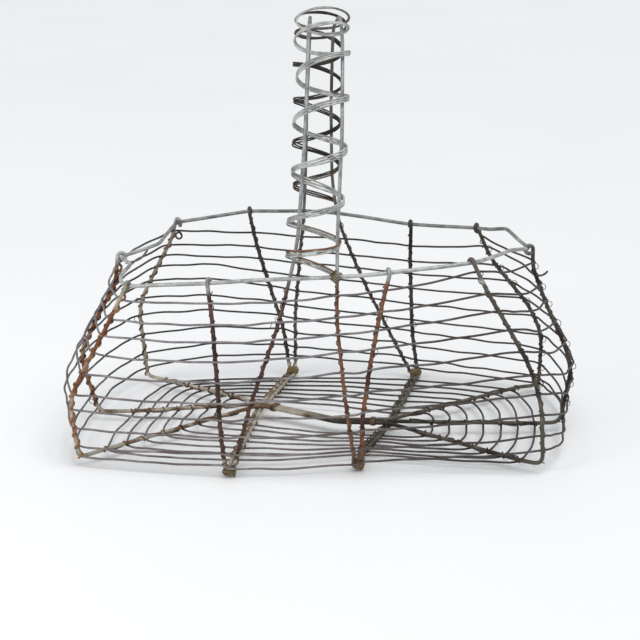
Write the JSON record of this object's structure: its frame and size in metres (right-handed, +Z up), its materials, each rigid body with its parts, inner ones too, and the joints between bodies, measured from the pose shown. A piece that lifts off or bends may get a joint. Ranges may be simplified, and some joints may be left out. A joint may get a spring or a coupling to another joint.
{
  "type": "wire egg basket",
  "caption": "Hand-made open wire basket with flared sides, a wire mesh floor and a wound twin-hoop carrying handle.",
  "frame": {"origin": "on the table, under the middle of the basket's outline", "axes": "+X along the basket's long side, to the right seen from the front; +Y from the front long side to the rear one; +Z up"},
  "size_m": [0.2831, 0.1845, 0.2371],
  "materials": {
    "galvanised": "dull weathered zinc",
    "worn_steel": "zinc worn to dark grey-brown steel",
    "rusted_steel": "matt rust",
    "brassy_wire": "aged yellow-brown coating"
  },
  "bodies": {
    "root": {"rim_wire": "galvanised", "long_rib_front": "galvanised", "long_rib_middle": "galvanised", "long_rib_rear": "galvanised", "cross_rib_left": "worn_steel", "cross_rib_right": "worn_steel", "handle_hoop_left": "galvanised", "handle_hoop_right": "galvanised", "handle_strand_1": "galvanised", "handle_strand_2": "galvanised", "handle_strand_3": "galvanised", "first_course": "worn_steel", "wall_course_01": "worn_steel", "wall_course_02": "worn_steel", "wall_course_03": "worn_steel", "wall_course_04": "worn_steel", "wall_course_05": "worn_steel", "wall_course_06": "worn_steel", "wall_course_07": "worn_steel", "wall_course_08": "worn_steel", "wall_course_09": "worn_steel", "wall_course_10": "worn_steel", "floor_course_1": "worn_steel", "floor_course_2": "worn_steel", "floor_course_3": "worn_steel", "floor_course_4": "worn_steel", "floor_course_5": "worn_steel", "floor_course_6": "worn_steel", "floor_course_7": "worn_steel", "binding_left_front": "rusted_steel", "binding_front_1": "rusted_steel", "binding_front_2": "rusted_steel", "binding_front_3": "rusted_steel", "binding_front_4": "rusted_steel", "binding_right_front": "worn_steel", "binding_right_middle": "rusted_steel", "binding_right_rear": "worn_steel", "binding_rear_4": "worn_steel", "binding_rear_3": "worn_steel", "binding_rear_2": "worn_steel", "binding_rear_1": "worn_steel", "binding_left_rear": "brassy_wire", "binding_left_middle": "rusted_steel", "floor_binding_left_front": "brassy_wire", "floor_binding_foot_front_left": "brassy_wire", "floor_binding_foot_front_right": "brassy_wire", "floor_binding_right_front": "brassy_wire", "floor_binding_right_middle": "brassy_wire", "floor_binding_right_rear": "brassy_wire", "floor_binding_foot_rear_right": "brassy_wire", "floor_binding_foot_rear_left": "brassy_wire", "floor_binding_left_rear": "brassy_wire", "floor_binding_left_middle": "brassy_wire", "foot_tie_front_left": "brassy_wire", "foot_tie_front_right": "brassy_wire", "foot_tie_rear_left": "brassy_wire", "foot_tie_rear_right": "brassy_wire", "spine_tie_left": "brassy_wire", "spine_tie_right": "brassy_wire", "rim_tie": "rusted_steel"}
  },
  "joints": []
}
